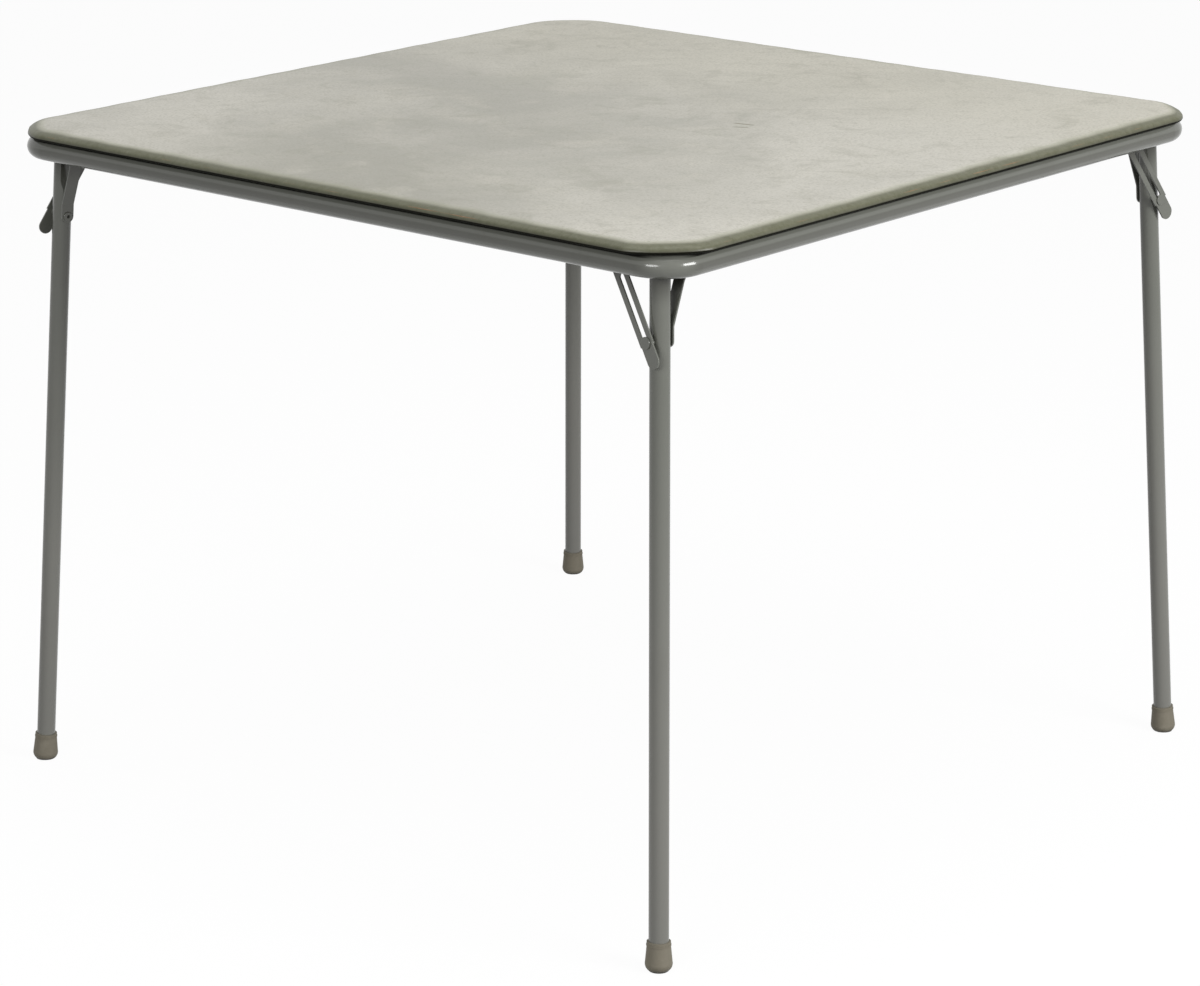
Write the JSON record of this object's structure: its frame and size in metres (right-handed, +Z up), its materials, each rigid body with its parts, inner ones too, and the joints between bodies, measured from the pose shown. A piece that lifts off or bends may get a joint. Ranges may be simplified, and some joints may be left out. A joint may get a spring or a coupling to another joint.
{
  "type": "folding card table",
  "caption": "Square folding card table with a padded vinyl top on a tubular steel frame, round splayed legs, slotted lock links and rubber feet.",
  "frame": {"origin": "on the floor under the middle of the top, table open", "axes": "+Z up; X and Y along the sides of the square top"},
  "size_m": [0.8838, 0.8838, 0.6829],
  "materials": {
    "frame_paint": "satin grey-green enamel on steel tube and strip",
    "vinyl": "embossed grey-green vinyl with pale mottling",
    "foam": "thin upholstery foam",
    "board": "pressed hardboard, raw",
    "foot_rubber": "matt moulded rubber",
    "zinc": "zinc plated steel"
  },
  "bodies": {
    "top": {"rail_frame": "frame_paint", "panel_board": "board", "foam_pad": "foam", "vinyl_cover": "vinyl", "cover_staples": "zinc", "bracket_screws": "zinc", "front_right_hinge_bracket": "frame_paint", "front_right_hinge_pin": "frame_paint", "front_left_hinge_bracket": "frame_paint", "front_left_hinge_pin": "frame_paint", "rear_left_hinge_bracket": "frame_paint", "rear_left_hinge_pin": "frame_paint", "rear_right_hinge_bracket": "frame_paint", "rear_right_hinge_pin": "frame_paint"},
    "front_right_leg": {"front_right_leg_tube": "frame_paint", "front_right_side_brace": "frame_paint", "front_right_rubber_foot": "foot_rubber"},
    "front_right_rivet": {"front_right_brace_rivet": "frame_paint"},
    "front_right_link": {"front_right_lock_link": "frame_paint", "front_right_link_pivot": "frame_paint"},
    "front_left_leg": {"front_left_leg_tube": "frame_paint", "front_left_side_brace": "frame_paint", "front_left_rubber_foot": "foot_rubber"},
    "front_left_rivet": {"front_left_brace_rivet": "frame_paint"},
    "front_left_link": {"front_left_lock_link": "frame_paint", "front_left_link_pivot": "frame_paint"},
    "rear_left_leg": {"rear_left_leg_tube": "frame_paint", "rear_left_side_brace": "frame_paint", "rear_left_rubber_foot": "foot_rubber"},
    "rear_left_rivet": {"rear_left_brace_rivet": "frame_paint"},
    "rear_left_link": {"rear_left_lock_link": "frame_paint", "rear_left_link_pivot": "frame_paint"},
    "rear_right_leg": {"rear_right_leg_tube": "frame_paint", "rear_right_side_brace": "frame_paint", "rear_right_rubber_foot": "foot_rubber"},
    "rear_right_rivet": {"rear_right_brace_rivet": "frame_paint"},
    "rear_right_link": {"rear_right_lock_link": "frame_paint", "rear_right_link_pivot": "frame_paint"}
  },
  "joints": [
    {"name": "front_right_leg_fold", "type": "hinge", "parent": "top", "child": "front_right_leg", "pos_m": [0.39, -0.396, 0.656], "axis": [0.1735, 0.9839, -0.0419], "range_deg": [0, 93.1]},
    {"name": "front_right_link_turn", "type": "hinge", "parent": "front_right_leg", "child": "front_right_rivet", "pos_m": [0.39313, -0.39944, 0.58816], "axis": [0.1735, 0.9839, -0.0419], "range_deg": [0, 35.47]},
    {"name": "front_right_link_slide", "type": "slide", "parent": "front_right_rivet", "child": "front_right_link", "axis": [0.5466, -0.1316, -0.827], "range_m": [0, 0.05274]},
    {"name": "front_left_leg_fold", "type": "hinge", "parent": "top", "child": "front_left_leg", "pos_m": [-0.396, -0.39, 0.656], "axis": [0.9839, -0.1735, -0.0419], "range_deg": [0, 93.1]},
    {"name": "front_left_link_turn", "type": "hinge", "parent": "front_left_leg", "child": "front_left_rivet", "pos_m": [-0.39944, -0.39313, 0.58816], "axis": [0.9839, -0.1735, -0.0419], "range_deg": [0, 35.47]},
    {"name": "front_left_link_slide", "type": "slide", "parent": "front_left_rivet", "child": "front_left_link", "axis": [-0.1316, -0.5466, -0.827], "range_m": [0, 0.05274]},
    {"name": "rear_left_leg_fold", "type": "hinge", "parent": "top", "child": "rear_left_leg", "pos_m": [-0.39, 0.396, 0.656], "axis": [-0.1735, -0.9839, -0.0419], "range_deg": [0, 93.1]},
    {"name": "rear_left_link_turn", "type": "hinge", "parent": "rear_left_leg", "child": "rear_left_rivet", "pos_m": [-0.39313, 0.39944, 0.58816], "axis": [-0.1735, -0.9839, -0.0419], "range_deg": [0, 35.47]},
    {"name": "rear_left_link_slide", "type": "slide", "parent": "rear_left_rivet", "child": "rear_left_link", "axis": [-0.5466, 0.1316, -0.827], "range_m": [0, 0.05274]},
    {"name": "rear_right_leg_fold", "type": "hinge", "parent": "top", "child": "rear_right_leg", "pos_m": [0.396, 0.39, 0.656], "axis": [-0.9839, 0.1735, -0.0419], "range_deg": [0, 93.1]},
    {"name": "rear_right_link_turn", "type": "hinge", "parent": "rear_right_leg", "child": "rear_right_rivet", "pos_m": [0.39944, 0.39313, 0.58816], "axis": [-0.9839, 0.1735, -0.0419], "range_deg": [0, 35.47]},
    {"name": "rear_right_link_slide", "type": "slide", "parent": "rear_right_rivet", "child": "rear_right_link", "axis": [0.1316, 0.5466, -0.827], "range_m": [0, 0.05274]}
  ],
  "couplings": [
    {"joint": "front_right_link_turn", "follows": "front_right_leg_fold", "ratio": 0.37886},
    {"joint": "front_right_link_slide", "follows": "front_right_leg_fold", "m_per_rad": 0.032336},
    {"joint": "front_left_link_turn", "follows": "front_left_leg_fold", "ratio": 0.37886},
    {"joint": "front_left_link_slide", "follows": "front_left_leg_fold", "m_per_rad": 0.032336},
    {"joint": "rear_left_link_turn", "follows": "rear_left_leg_fold", "ratio": 0.37886},
    {"joint": "rear_left_link_slide", "follows": "rear_left_leg_fold", "m_per_rad": 0.032336},
    {"joint": "rear_right_link_turn", "follows": "rear_right_leg_fold", "ratio": 0.37886},
    {"joint": "rear_right_link_slide", "follows": "rear_right_leg_fold", "m_per_rad": 0.032336}
  ]
}
